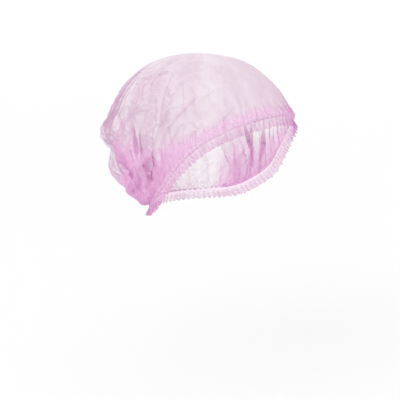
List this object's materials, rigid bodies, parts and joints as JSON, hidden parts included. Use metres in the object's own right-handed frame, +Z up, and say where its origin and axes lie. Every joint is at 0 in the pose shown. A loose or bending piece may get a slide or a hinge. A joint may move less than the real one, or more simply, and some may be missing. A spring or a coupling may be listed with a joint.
{
  "type": "disposable hair cover cap",
  "caption": "Sheer gathered hair cover cap: close over the crown, baggy behind, with an elasticated edge and a short frill.",
  "frame": {"origin": "middle of the elastic loop, halfway between the elastic at the forehead and the elastic at the nape", "axes": "+Z up, -Y towards the face, +X to the wearer's left"},
  "size_m": [0.1694, 0.226, 0.1606],
  "materials": {
    "nonwoven_fabric": "thin sheer pink spunbond non-woven sheet, matt with a faint sheen, crinkled where it is gathered",
    "elastic": "narrow flat elastic tape, matt pink"
  },
  "bodies": {
    "root": {"crown": "nonwoven_fabric", "elastic_band": "elastic"}
  },
  "joints": []
}
